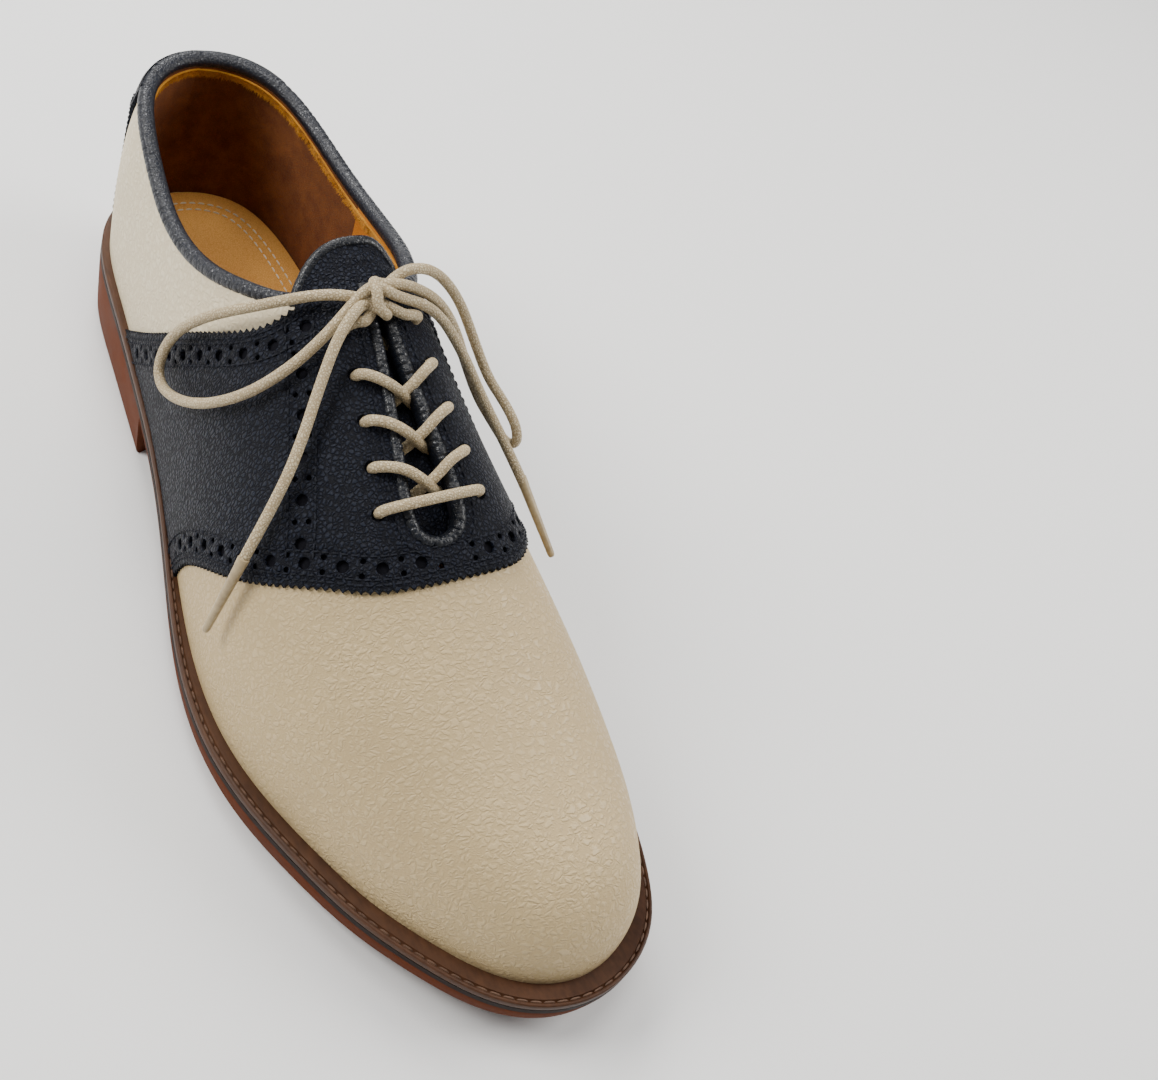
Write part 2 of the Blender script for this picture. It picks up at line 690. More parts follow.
# ---------------------------------------------------------------- upper leather
CREAM = leather("cream_leather", (0.71, 0.615, 0.435), (0.63, 0.535, 0.365), 470, 0.00028, 0.42,
                mottle=0.06, cell=0.34, stretch=(0.8, 1, 1), warped=2.0)
CREAM_VAMP = leather("cream_vamp_leather", (0.545, 0.415, 0.225), (0.485, 0.36, 0.185), 540, 0.00021, 0.40,
                     mottle=0.10, cell=0.34, stretch=(1, 0.75, 1), warped=2.2)
NAVY = leather("navy_leather", (0.011, 0.014, 0.025), (0.0015, 0.002, 0.005), 840, 0.00040, 0.42,
               fine=0.4, mottle=0.2, cell=0.30, stretch=(1, 1, 0.6), specular=0.14)
NAVY_ROLLED = leather("navy_rolled_leather", (0.013, 0.015, 0.023), (0.005, 0.006, 0.010), 900, 0.00010,
                      0.30, mottle=0.2, specular=0.42)
NAVY_PIPED = leather("navy_piped_leather", (0.008, 0.010, 0.016), (0.002, 0.003, 0.005), 900, 0.00006,
                     0.27, mottle=0.2, specular=0.42)
NAVY_THREAD = grained("navy_thread", (0.002, 0.003, 0.006), (0.011, 0.013, 0.022), 5000, 0.0001, 0.6,
                      specular=0.2)
TAN = leather("tan_leather", (0.56, 0.20, 0.024), (0.45, 0.148, 0.017), 1500, 0.00004, 0.5,
              mottle=0.2, specular=0.3)
SOCK = leather("sock_leather", (0.78, 0.40, 0.10), (0.64, 0.305, 0.068), 1500, 0.00004, 0.5,
               specular=0.3)
SUEDE = grained("suede", (0.095, 0.026, 0.006), (0.20, 0.068, 0.015), 2600, 0.00028, 0.95,
                sheen=0.06, specular=0.1)
RAW_EDGE = grained("raw_edge", (0.38, 0.14, 0.013), (0.72, 0.34, 0.042), 3200, 0.0003, 0.95,
                   sheen=0.1, specular=0.1)
CREAM_THREAD = grained("cream_thread", (0.66, 0.57, 0.38), (0.86, 0.78, 0.58), 4000, 0.0001, 0.7)
DARK_CLOTH = grained("dark_backing", (0.003, 0.003, 0.005), (0.010, 0.010, 0.014), 3000, 0.0001, 0.9,
                     specular=0.1)

# How far the pieces under an overlay reach, thicknesses and depths below the skin, and the drops
# below the collar's top line at which pieces end.
OVERLAP, UPPER_T = 3.2, 1.4
OVERLAY, THREAD_D, THROAT_THREAD_D = (-1.45, -0.05), -1.3, -1.42
EDGE_DIP, EDGE_RUN, SEAM_DIP, SEAM_RUN = 0.3, 0.28, 0.28, 0.5
TOP_DROP, BACKER_DROP, LINING_DROP, RAW_DROP = 1.6, 4.5, 3.0, 3.7
# Offsets from the lace opening: its roll, the saddle's edge, the line that seams keep off, its seam.
ROLL_OFF, SADDLE_OFF, LIP_OFF, SEAM_OFF = 1.75, 2.7, 4.2, 5.4
# Holes: radii and corners.
EYELET_R, EYELET_GUARD, GUARD = 1.75, 2.5, 0.55
LARGE_N, SMALL_N = 18, 10


def top_girth(side, drop):
    """Function that gives the distance from the ridge to the collar's top line at a station."""
    g = between(FORWARD[side], ROWS.astype(float), phi_at_top(_stations, side, drop) * N_P)
    return lambda x0: np.interp(share(x0) * N_S, ROWS, g)


def crossing(row, line, low, high):
    """Station at which each row of the upper crosses a side-view line.  row(x0) gives its points."""
    line = line[np.argsort(line[:, 1])]
    n = len(row(np.array([low])))
    lows, highs = np.full(n, float(low)), np.full(n, float(high))
    for _ in range(40):
        mid = (lows + highs) / 2
        p = row(mid)
        before = p[:, 0] < np.interp(p[:, 2], line[:, 1], line[:, 0])
        lows, highs = np.where(before, mid, lows), np.where(before, highs, mid)
    return highs


def wall(side, v, drop, d):
    """Rows between the feather (v = 0) and the top line (v = 1) as a function of the station."""
    top = top_girth(side, drop)

    def points(x0):
        full = girth(x0, side)
        return instep(x0, side * (full + (top(x0) - full) * v), d)

    return points


def wall_patch(side, drop, depths, start, end, cols=91):
    """Closed patch of one side of the upper between two side-view lines (None is the heel's middle)."""
    v = np.linspace(0, 1, 41)
    row = wall(side, v, drop, 0.0)
    first = share(HEEL + 0 * v if start is None else crossing(row, start, HEEL, -20))[:, None]
    last = share(crossing(row, end, HEEL, 60))[:, None]
    x0 = station(first + (last - first) * np.linspace(0, 1, cols))
    return [wall(side, v[:, None], drop, d)(x0) for d in depths]


front_under = moved(SADDLE_FRONT, -OVERLAP)
rear_under = moved(SADDLE_REAR, OVERLAP)


def make_vamp():
    u = np.linspace(-1, 1, 113)

    def across(x0, u, d=0.0):
        return instep(x0, u * np.where(u < 0, girth(x0, -1), girth(x0, 1)), d)

    first = crossing(lambda x0: across(x0, u), front_under, -40, 70)[:, None]
    x0 = first + (TOE - first) * np.sin(np.linspace(0, 1, 111) * np.pi / 2)
    layered("vamp", CREAM_VAMP, "cream_leather", [[across(x0, u[:, None], d) for d in (0.0, UPPER_T)]])


make_vamp()
for name, side in (("quarter_lateral", -1), ("quarter_medial", 1)):
    layered(name, CREAM, "cream_leather", [wall_patch(side, TOP_DROP, (0.0, UPPER_T), None, rear_under)])


def on_plan(x, y):
    """Instep coordinates of plan points."""
    x, y = np.asarray(x, float), np.asarray(y, float)
    phi = plan_phi(x, y)
    return stacked(x, np.where(phi < 0, -girth_at(x, -phi, -1), girth_at(x, phi, 1)))


def edge_line(points, side, surface_of):
    """Side-view edge as surface coordinates, from the feather up to the ridge or the top line."""
    line = smooth_line(points, 0.15)
    top = moved(TOP[side], TOP_DROP)
    x, z = line[:, 0], line[:, 1]
    keep = (z > feather(x)) & (z < ridge(share(np.clip(x, HEEL, TOE))) - 0.02)
    keep &= z < np.where(x < -24, np.interp(x, *top.T), 200)
    return surface_of(x[keep], z[keep], side)


def slot_line(extra, back=-27.0):
    """Plan line round the lace opening, from the lateral top to the medial top."""
    left = [(x, throat_centre(x) - h - extra) for x, h in SLOT]
    right = [(x, throat_centre(x) + h + extra) for x, h in SLOT]
    c = throat_centre(40.0)
    tip = [(37.3 + extra * 0.8, c - 4.4 - extra * 0.72), (SLOT_TIP + extra, c),
           (37.3 + extra * 0.8, c + 4.4 + extra * 0.72)]
    line = smooth_line(left + tip + right[::-1], 0.5)
    return line[line[:, 0] > back]


front_edges, rear_edges = [{side: edge_line(points, side, on_instep) for side in (-1, 1)}
                           for points in (SADDLE_FRONT, SADDLE_REAR)]
front_edge = np.concatenate([front_edges[-1], front_edges[1][::-1]])
# The saddle's stitch rows and its row of holes, by distance from the cut edge.
STITCH_ROWS, HOLE_ROW = (2.3, 3.7, 9.7), 6.6


def foot_line(x_from, x_to, side):
    """Line just above the feather on one side, without its ends."""
    x = np.linspace(x_from, x_to, int(abs(x_to - x_from) / 1.6) + 2)[1:-1]
    return stacked(x, side * (girth(x, side) - 0.01))


def eyelet_spots():
    """Instep coordinates of every lace hole."""
    for x, half in EYELETS:
        for side in (-1, 1):
            yield on_plan([x], [throat_centre(x) + side * half])[0]


def clear_of(surface, holes, keep_out):
    """Holes that stay clear of the given (points in space, distance) pairs."""
    kept = []
    for hole in holes:
        p = surface(hole[0][0], hole[0][1])
        if all(np.linalg.norm(points - p, axis=1).min() > gap + hole[1] for points, gap in keep_out):
            kept.append(hole)
    return kept


def overlay(name, surface, outline, holes, rows):
    """Punched leather on top of the upper.  holes: centre, radius, guard ring's radius, corners."""
    loops = [outline] + [circle_on(surface, c, r, n) for c, r, _, n in holes]
    sheet = Sheet()
    plate(sheet, surface, loops, rows, [circle_on(surface, c, guard, n) for c, _, guard, n in holes])
    sheet.piece(name, NAVY, "navy_leather", sharp=42)


def guarded(holes):
    """Each hole with the radius of a ring of mesh points round it."""
    return [(c, r, r + GUARD, n) for c, r, n in holes]


def make_saddle():
    front = gimped(instep, front_edge, 1)
    rear = {side: gimped(instep, rear_edges[side], side) for side in (-1, 1)}
    throat = on_plan(*slot_line(SADDLE_OFF).T)[::-1]
    outline = np.concatenate([front, foot_line(front[-1][0], rear[1][0][0], 1), rear[1], throat,
                              rear[-1][::-1], foot_line(rear[-1][0][0], front[0][0], -1)])
    spot_points = np.array([instep(*spot) for spot in eyelet_spots()])
    lip = above(*slot_line(LIP_OFF).T, 0.0)[0]
    rows, seams, holes = [], [], []
    for line, sign in ((front_edge, 1), (rear_edges[-1], -1), (rear_edges[1], 1)):
        seams += [beside(instep, line, off, sign) for off in STITCH_ROWS]
        holes += punched(instep, beside(instep, line, HOLE_ROW, sign), ends=(7.0, 7.0))
    middle = {-1: [(-25, -15.5), (-4, -21), (12, -26), (28, -31), (37, -34.5)],
              1: [(-25, 21.5), (-4, 27), (12, 32), (28, 37), (37, 40.5)]}
    for side in (-1, 1):
        line = on_plan(*smooth_line(middle[side]).T)
        run = line_length(instep, line)
        holes += punched(instep, spaced(instep, line, at=np.linspace(4, run - 11, 60)), ends=(1.0, 1.0))
        seams += [beside(instep, line, off, 1)[:-8] for off in (-3.8, 3.8)]
    for seam in seams:
        p = instep(*seam.T)
        away = np.min(np.linalg.norm(p[:, None] - lip[None], axis=2), axis=1) > 0.6
        cuts = np.where(np.diff(away.astype(int)) != 0)[0] + 1
        pieces, flags = np.split(seam, cuts), np.split(away, cuts)
        rows += [part for part, flag in zip(pieces, flags) if flag[0] and len(part) > 8]
    ground = np.concatenate([instep(*foot_line(-112, 0, side).T) for side in (-1, 1)])
    holes = clear_of(instep, holes, [(lip, 0.4), (spot_points, 2.6), (ground, 2.5)])
    chosen = []
    for hole in holes:
        p = instep(*hole[0])
        if all(np.linalg.norm(instep(*other[0]) - p) > hole[1] + other[1] + 0.5 for other in chosen):
            chosen.append(hole)
    holes = guarded(chosen) + [(spot, EYELET_R, EYELET_GUARD, LARGE_N) for spot in eyelet_spots()]
    overlay("saddle", instep, outline, holes, rows)
    thread = Sheet()
    for row in rows:
        stitches(thread, instep, row, THREAD_D)
    stitches(thread, instep, on_plan(*slot_line(SEAM_OFF).T), THROAT_THREAD_D, pitch=2.6)
    thread.piece("saddle_stitching", NAVY_THREAD, "navy_leather")


def make_backer():
    """Dark lining cloth under the punched rows."""
    layers = []
    for side in (-1, 1):
        v = np.linspace(0, 1, 60)
        row = wall(side, v, BACKER_DROP, 0.0)
        first = crossing(row, moved(SADDLE_REAR, OVERLAP + 0.2), HEEL, -10)
        last = crossing(row, moved(SADDLE_FRONT, -OVERLAP + 0.9), first.min(), 60)
        x0 = first[:, None] + (last - first)[:, None] * np.linspace(0, 1, 60)
        layers.append([wall(side, v[:, None], BACKER_DROP, d)(x0) for d in (0.05, UPPER_T)])
    layered("saddle_backer", DARK_CLOTH, "canvas", layers)


def heel_top(reach):
    """The collar's top line round the heel, out to a distance on each side of the middle."""
    halves = []
    for side in (-1, 1):
        x0 = station(np.linspace(0.0, 0.4, 160))
        line = round_heel(x0, top_girth(side, TOP_DROP)(x0), side)
        halves.append(line[np.abs(line[:, 0]) < reach[side]])
    return np.concatenate([halves[0][::-1], halves[1][1:]])


def make_heel_patch():
    lines = {}
    for side in (-1, 1):
        line = edge_line(PATCH_FRONT, side, on_flank)
        line[:, 0] = side * np.maximum(np.abs(line[:, 0]), 4.5)
        lines[side] = spaced(flank, line, 0.5)
    top = heel_top({side: abs(lines[side][-1][0]) - 1.0 for side in (-1, 1)})
    outline = np.concatenate([gimped(flank, lines[-1], 1), top, gimped(flank, lines[1], -1)[::-1]])
    foot = np.linspace(lines[1][0][0], lines[-1][0][0], 40)[1:-1]
    outline = np.concatenate([outline, stacked(foot, foot * 0 + 0.01)])
    rows, holes = [], []
    for side in (-1, 1):
        low = lines[side][lines[side][:, 1] < 50]
        rows += [beside(flank, low, off, -side) for off in (2.0, 3.2)]
        holes += punched(flank, beside(flank, low, 5.8, -side), (5.0, 3.0), big=1.5, small=0.75, pitch=8.6)
    overlay("heel_patch", flank, outline, guarded(holes), rows)
    thread = Sheet()
    for row in rows:
        stitches(thread, flank, row, THREAD_D)
    thread.piece("heel_patch_stitching", NAVY_THREAD, "navy_leather")
    dark = Sheet()
    for c, r, n in holes:
        ring = circle_on(flank, c, r + 0.3, n)
        dark.rings([flank(*ring.T, d) for d in (-0.02, -0.12)])
    dark.piece("heel_patch_backing", DARK_CLOTH, "canvas")


make_saddle()
make_backer()
make_heel_patch()


# ---------------------------------------------------------------- bindings
def creases(seed, run, angle, low=1.1, high=3.2):
    """Fine cross wrinkles: sharp dips at uneven distances, each part way round the roll."""
    rng = np.random.default_rng(seed)
    total = np.zeros(np.broadcast(run, angle).shape)
    at = np.cumsum(rng.uniform(low, high, int(run.max() / low) + 2))
    at = at[at < run.max()]
    for centre in at:
        lean, middle = rng.uniform(-0.5, 0.5), rng.uniform(-1.2, 1.2)
        wide, deep = rng.uniform(0.22, 0.42), rng.uniform(0.35, 1.0)
        off = run - centre - lean * angle
        total -= deep * np.exp(-(off / wide) ** 2) * np.exp(-((angle - middle) / 1.3) ** 2)
    return total


def rolled(name, material, centre, normal, half_out, half_side, seed, depth, sides=22, body="shoe"):
    """Rolled leather edge along a path: half_out along the normal, half_side across it."""
    run = travelled(centre)
    across = unit(np.cross(normal, tangents(centre)))
    angle = np.linspace(-np.pi, np.pi, sides, endpoint=False)
    c, s = np.cos(angle), np.sin(angle)
    grow = 1 + creases(seed, run[:, None], angle[None, :]) * depth
    out, wide = [np.sign(v) * np.abs(v) ** (2 / 2.3) * half for v, half in ((c, half_out), (s, half_side))]
    sheet = Sheet()
    sheet.rings(centre[:, None] + grow[..., None] * (normal[:, None] * out[None, :, None]
                                                     + across[:, None] * wide[None, :, None]))
    sheet.piece(name, material, "navy_leather", body, 75)


def even(points, other, step):
    """Path and its normals read again at even steps."""
    run = travelled(points)
    at = np.linspace(0, run[-1], int(run[-1] / step))
    return resampled(at, run, points), unit(resampled(at, run, other))


def collar_path(drop, d):
    """Line below the collar's top line, from the lateral front round the heel to the medial front."""
    halves = []
    for side in (-1, 1):
        x0 = station(np.linspace(0, share(-26.0), 420))
        phi = phi_at_top(x0, side, drop)
        free = throat_phi(x0, side)
        last = len(x0)
        while last > 1 and x0[last - 1] > THROAT_BACK and phi[last - 1] <= free[last - 1] + 1e-6:
            last -= 1
        x0, phi = x0[:last], phi[:last]
        around = round_heel(x0, girth_at(x0, phi, side), side)
        halves.append((flank(*around.T, d), surface_frame(flank, around)[3]))
    return [np.concatenate([left[::-1], right[1:]]) for left, right in zip(*halves)]


throat_path = above(*slot_line(ROLL_OFF, -26.6).T, 0.55)
rolled("collar_binding", NAVY_ROLLED, *even(*collar_path(2.0, 1.25), 0.32), 2.45, 2.15, 3, 0.21)
rolled("throat_binding", NAVY_PIPED, *even(*throat_path, 0.3), 2.80, 1.90, 5, 0.24)


# ---------------------------------------------------------------- linings and sock
line_front, line_back = smooth_line(LINE_FRONT), smooth_line(LINE_BACK)
for name, material, slot, start, end in (("quarter_lining", TAN, "tan_leather", line_back, line_front),
                                         ("heel_lining", SUEDE, "suede", None, line_back)):
    layered(name, material, slot,
            [wall_patch(side, LINING_DROP, LINING_D, start, end, 61) for side in (-1, 1)])


def make_raw_edge():
    """Torn-looking raw edge of the lining leather that stands out under the collar binding."""
    rng = np.random.default_rng(17)
    s = np.linspace(0.0, share(-33.0), 1500)
    for side, name in ((-1, "lateral"), (1, "medial")):
        x0 = station(s)
        top = top_girth(side, RAW_DROP)(x0)
        width = 2.3 + rng.normal(0, 0.12, len(s))
        for gap in (40, 5):
            knots = np.arange(0, len(s) + gap, gap)
            width += np.interp(np.arange(len(s)), knots, rng.normal(0, 0.3, len(knots)))
        width = np.clip(width, 1.3, 3.6)
        g = top[None, :] + width[None, :] * np.array([0.0, 0.35, 0.7, 1.0])[:, None]
        rough = rng.normal(0, 0.07, g.shape)
        sheet = Sheet()
        sheet.layer(*[instep(x0[None, :], side * g, d) for d in (3.3, 3.95 + rough)])
        at = np.sort(rng.uniform(0, s[-1], 2600))
        x = station(at)
        g = top_girth(side, RAW_DROP)(x) + np.interp(at, s, width) * rng.uniform(0.25, 1.0, len(at))
        root = instep(x, side * g, 3.85)
        down = unit(instep(x, side * (g + 0.4), 3.85) - root)
        into = unit(instep(x, side * g, 4.3) - root)
        along = np.cross(down, into)
        n = len(at)
        way = unit(down + along * rng.normal(0, 0.5, (n, 1)) + into * rng.uniform(0.05, 0.5, (n, 1)))
        tips = root + way * rng.uniform(0.7, 1.7, (n, 1))
        base = [root + 0.1 * (along * math.cos(a) + into * math.sin(a)) for a in (0.0, 2.1, 4.2)]
        faces = [(a * n + k, b * n + k, 3 * n + k) for a, b in ((0, 1), (1, 2), (2, 0)) for k in range(n)]
        sheet.add(np.concatenate(base + [tips]), faces)
        sheet.piece("lining_raw_edge_" + name, RAW_EDGE, "tan_leather", sharp=60)


make_raw_edge()


def outline(offset, n=220):
    """Closed plan outline of the upper, grown by a constant or by a curve of x: points and normals."""
    s = np.arange(n + 1) / n
    x = station(s)
    xy = stacked(np.append(x, x[-2:0:-1]), np.append(lateral(s), medial(s)[-2:0:-1]))
    t = unit(np.roll(xy, -1, axis=0) - np.roll(xy, 1, axis=0))
    normal = stacked(t[:, 1], -t[:, 0])
    grow = offset(xy[:, 0]) if callable(offset) else np.full(len(xy), float(offset))
    return xy + normal * grow[:, None], normal


def sock(x, y, d=0.0):
    """Upper face of the sock liner, slightly dished."""
    x, y, d = np.broadcast_arrays(np.asarray(x, float), y, d)
    s = share(np.clip(x, HEEL, TOE))
    middle, half = (lateral(s) + medial(s)) / 2, np.maximum((medial(s) - lateral(s)) / 2 - 3.5, 1.0)
    dish = 0.5 * np.clip(1 - ((y - middle) / half) ** 2, 0, 1)
    return stacked(x, y, feather(x) + 3.2 - dish - d)


sock.outward = 1.0


def make_sock():
    edge, _ = outline(-3.75, 160)
    uv, faces, gap = meshed([edge], np.zeros((0, 2)), 3.0)
    sheet = Sheet()
    sheet.lidded(sock(*uv.T, 0.35 * np.exp(-gap / 0.5)), sock(*uv.T, 1.1), faces)
    sheet.piece("sock_liner", SOCK, "tan_leather", sharp=60)
    thread = Sheet()
    for inset in (9.5, 12.5):
        line, _ = outline(-inset, 200)
        line = np.roll(line, len(line) // 2, axis=0)
        stitches(thread, sock, line[line[:, 0] < -25], -0.05, pitch=3.0, length=2.3, width=0.6)
    thread.piece("sock_stitching", CREAM_THREAD, "tan_leather")


make_sock()


# ---------------------------------------------------------------- sole
RUBBER = grained("red_rubber", (0.080, 0.0195, 0.0055), (0.108, 0.028, 0.0085), 900, 0.00003, 0.6,
                 specular=0.06)
DARK_RUBBER = grained("dark_midsole", (0.010, 0.006, 0.005), (0.020, 0.012, 0.010), 900, 0.00003, 0.55,
                      specular=0.1)
WELT_LEATHER = grained("welt_leather", (0.034, 0.013, 0.0055), (0.072, 0.029, 0.012), 700, 0.00004, 0.45,
                       stretch=(0.35, 1, 2.2), specular=0.22)
WELT_THREAD = grained("welt_thread", (0.06, 0.03, 0.018), (0.14, 0.075, 0.045), 4000, 0.0001, 0.6)


def foot_height(x):
    """Feather line, carried on straight past both ends of the upper."""
    x = np.asarray(x, float)
    return feather(np.clip(x, HEEL, TOE)) + 0.14 * np.maximum(x - TOE, 0) + 0.02 * np.maximum(HEEL - x, 0)


def sole_top(x):
    """Height of the outsole's upper face, under the welt and the midsole."""
    return foot_height(x) - WELT_T - MID_T - GAP


def welt_face(x, y, d=0.0):
    """Upper face of the welt."""
    x, y, d = np.broadcast_arrays(np.asarray(x, float), y, d)
    return stacked(x, y, foot_height(x) - 0.05 - d)


welt_face.outward = 1.0


def make_welt():
    # Inset from the sole's edge, height, and depth of the stitch groove.
    profile = [(9.5, -2.6, 0), (0.25, -2.6, 0), (0.05, -2.4, 0), (0.0, -1.4, 0), (0.03, -0.6, 0),
               (0.15, -0.27, 0), (0.42, -0.07, 0), (0.95, -0.05, 0.05), (1.15, -0.05, 0.5), (1.5, -0.05, 0.8),
               (1.85, -0.05, 0.5), (2.05, -0.05, 0.05), (4.0, -0.05, 0), (9.5, -0.05, 0)]
    rings = []
    for inset, height, groove in profile:
        xy, _ = outline(lambda x: sole_edge(x) - inset, 300)
        fade = np.clip((xy[:, 0] + 45) / 10, 0, 1)
        rings.append(np.column_stack([xy, foot_height(xy[:, 0]) + height - groove * fade]))
    sheet = Sheet()
    sheet.rings(np.transpose(np.array(rings), (1, 0, 2)), closed=True)
    sheet.piece("welt", WELT_LEATHER, "welt_leather")
    line, _ = outline(lambda x: sole_edge(x) - 1.5, 300)
    thread = Sheet()
    stitches(thread, welt_face, line[line[:, 0] > -38], 0.62, pitch=3.6, length=3.1, width=0.75, rise=0.15)
    thread.piece("welt_thread", WELT_THREAD, "thread")


BREAST_CENTRE, BREAST_R = (BREAST_X + 104, 1.5), 110.0
PITCH, PIT_DEPTH, FIELD_STEP, RIM_CLEAR = 1.9, 0.85, 0.06, 2.6
BREAST_STEPS, FOOT_INSET = (-0.15, 0.15), 2.3
BADGE_AT, BADGE_HALF = (-33.0, 1.0), 9.75
BADGE_COS, BADGE_SIN = math.cos(math.radians(100)), math.sin(math.radians(100))
# Height steps of a stud by radius, and of the plain oval's frame by distance.
POD_STEPS = [(0, 0), (4.5, 0.03), (6.0, 0.12), (6.7, 0.42), (7.0, 0.95), (7.3, 1.8), (9.2, 1.8), (9.5, 0.3),
             (9.9, 0)]
OVAL_STEPS = [(4.6, 0.3), (4.95, 0.0), (5.3, 0.1), (5.6, 1.05), (6.9, 1.05), (7.2, 0.1), (7.5, 0.0)]


def across_line(x0, y):
    """Bowed line across the tread that starts at station x0."""
    return x0 + 4.0 * ((y - 2) / 40) ** 2


def from_breast(x, y):
    """Distance behind the heel's curved breast: positive on the heel, negative on the forepart."""
    return np.hypot(x - BREAST_CENTRE[0], y - BREAST_CENTRE[1]) - BREAST_R


def field(x, y):
    """Where the tread is textured."""
    on = np.zeros(np.shape(x), bool)
    for back, front in ((30, 999), (2, 12), (-112, -97), (-999, -118)):
        on |= (x > across_line(back, y)) & (x < across_line(front, y))
    for px, py, _, clear in PODS:
        on &= np.hypot(x - px, y - py) > clear
    return on


def knurl(x, y):
    """1 at the bottom of each small pit, 0 on the ridges between."""
    u, v = (x + y) / math.sqrt(2) / PITCH, (x - y) / math.sqrt(2) / PITCH
    return 1 - 2 * np.maximum(np.abs(u - np.floor(u) - 0.5), np.abs(v - np.floor(v) - 0.5))


def badge_distance(x, y):
    """Distance from the straight middle of the plain oval."""
    along = (x - BADGE_AT[0]) * BADGE_COS + (y - BADGE_AT[1]) * BADGE_SIN
    off = -(x - BADGE_AT[0]) * BADGE_SIN + (y - BADGE_AT[1]) * BADGE_COS
    return np.hypot(np.maximum(np.abs(along) - BADGE_HALF, 0), off)


def tread_height(x, y, rim):
    """Height of the sole's underside; rim is the distance from the outer edge."""
    z = np.where(from_breast(x, y) > 0, 0.0, tread(x))
    for px, py, scale, _ in PODS:
        z = z + np.interp(np.hypot(x - px, y - py) / scale, *zip(*POD_STEPS)) * scale
    oval = badge_distance(x, y)
    z = z + np.interp(oval, *zip(*OVAL_STEPS)) * (oval < OVAL_STEPS[-1][0])
    return z + np.where(field(x, y) & (rim > RIM_CLEAR), FIELD_STEP + PIT_DEPTH * knurl(x, y), 0.0)


def circle(centre, radius, n):
    """Plan points round a centre."""
    angle = turns(n)
    return stacked(centre[0] + radius * np.cos(angle), centre[1] + radius * np.sin(angle))


def make_outsole():
    base, normal = outline(sole_edge, 1300)
    run = travelled(np.vstack([base, base[:1]]))
    gap = from_breast(*(base - normal * FOOT_INSET).T)
    crossings = []
    for level in BREAST_STEPS:
        flips = np.where(np.diff(np.sign(gap - level)) != 0)[0]
        crossings += [run[i] + (run[i + 1] - run[i]) * (level - gap[i]) / (gap[i + 1] - gap[i])
                      for i in flips]
    at = np.arange(0, run[-1], 1.5)
    at = at[np.min(np.abs(at[:, None] - np.array(crossings)[None]), axis=1) > 0.7]
    at = np.sort(np.concatenate([at, crossings]))
    ring = resampled(at, run, np.vstack([base, base[:1]]))
    out = unit(resampled(at, run, np.vstack([normal, normal[:1]])))
    sole = ring - out * FOOT_INSET
    top = sole_top(ring[:, 0])
    bottom = np.where(from_breast(*sole.T) > 0, 0.0, tread(sole[:, 0]))
    levels = [(0.12, 0.0), (0.0, 0.08), (0.35, 0.4), (0.8, 0.75), (1.0, 0.88)]
    rings = [np.column_stack([ring - out * inset, top + (bottom - top) * t]) for inset, t in levels]
    for inset, lift in ((1.15, 0.95), (1.45, 0.4), (1.85, 0.1)):
        rings.append(np.column_stack([ring - out * inset, bottom + lift]))
    rings.append(np.column_stack([sole, bottom]))
    sheet = Sheet()
    k = np.arange(len(rings) * len(ring)).reshape(len(rings), -1)
    after = np.roll(k, -1, axis=1)
    sheet.add(np.concatenate(rings), stacked(k[:-1], after[:-1], after[1:], k[1:]).reshape(-1, 4).tolist())
    extra = []
    for *pod, scale, _ in PODS:
        extra += [circle(pod, r * scale, 44) for r, _ in POD_STEPS[1:]]
        extra.append(circle(pod, 2.5, 10))
    for distance, _ in OVAL_STEPS:
        angle = turns(56)
        along = np.sign(np.cos(angle)) * BADGE_HALF + distance * np.cos(angle)
        off = distance * np.sin(angle)
        along = np.append(along, np.repeat(np.linspace(-8.5, 8.5, 12), 2))
        off = np.append(off, [distance, -distance] * 12)
        extra.append(stacked(BADGE_AT[0] + along * BADGE_COS - off * BADGE_SIN,
                             BADGE_AT[1] + along * BADGE_SIN + off * BADGE_COS))
    for level in BREAST_STEPS:
        y = np.arange(-45, 48, 1.1)
        r = BREAST_R + level
        extra.append(stacked(BREAST_CENTRE[0] - np.sqrt(r**2 - (y - BREAST_CENTRE[1]) ** 2), y))
    half = PITCH / 2 * math.sqrt(2)
    i, j = np.meshgrid(np.arange(-140, 140), np.arange(-140, 140))
    lattice = stacked((i + j) * half, (i - j) * half).reshape(-1, 2)
    lattice = np.concatenate([lattice + np.array(step) * half
                              for step in ((0, 0), (1, 0), (0.5, 0.5), (0.5, -0.5))])
    lattice = lattice[(np.abs(lattice[:, 0]) < 170) & (np.abs(lattice[:, 1]) < 70)]
    lattice = lattice[inside(lattice, sole)]
    rim = distances(lattice, tree_of(sole))
    near = [field(lattice[:, 0] + dx, lattice[:, 1] + dy)
            for dx, dy in ((1.3, 0), (-1.3, 0), (0, 1.3), (0, -1.3))]
    extra.append(lattice[np.any(near, axis=0) & (rim > 1.3)])
    uv, tris, gap = meshed([sole], np.concatenate(extra), 4.0)
    sheet.add(np.column_stack([uv, tread_height(*uv.T, gap)]), tris.tolist())
    lid, tris, _ = meshed([rings[0][:, :2]], np.zeros((0, 2)), 6.0)
    sheet.add(np.column_stack([lid, sole_top(lid[:, 0])]), tris.tolist())
    sheet.piece("outsole", RUBBER, "rubber_sole", sharp=38)


make_welt()
make_outsole()


# ---------------------------------------------------------------- tongue, on its own body
TONGUE_Y, TONGUE_HALF, TONGUE_FRONT = 3.3, 21.8, 43


def tongue_end(w):
    """Rounded free end of the tongue; w goes from -1 to 1 across it."""
    return -42 + 10.5 * np.abs(w) ** 3.2


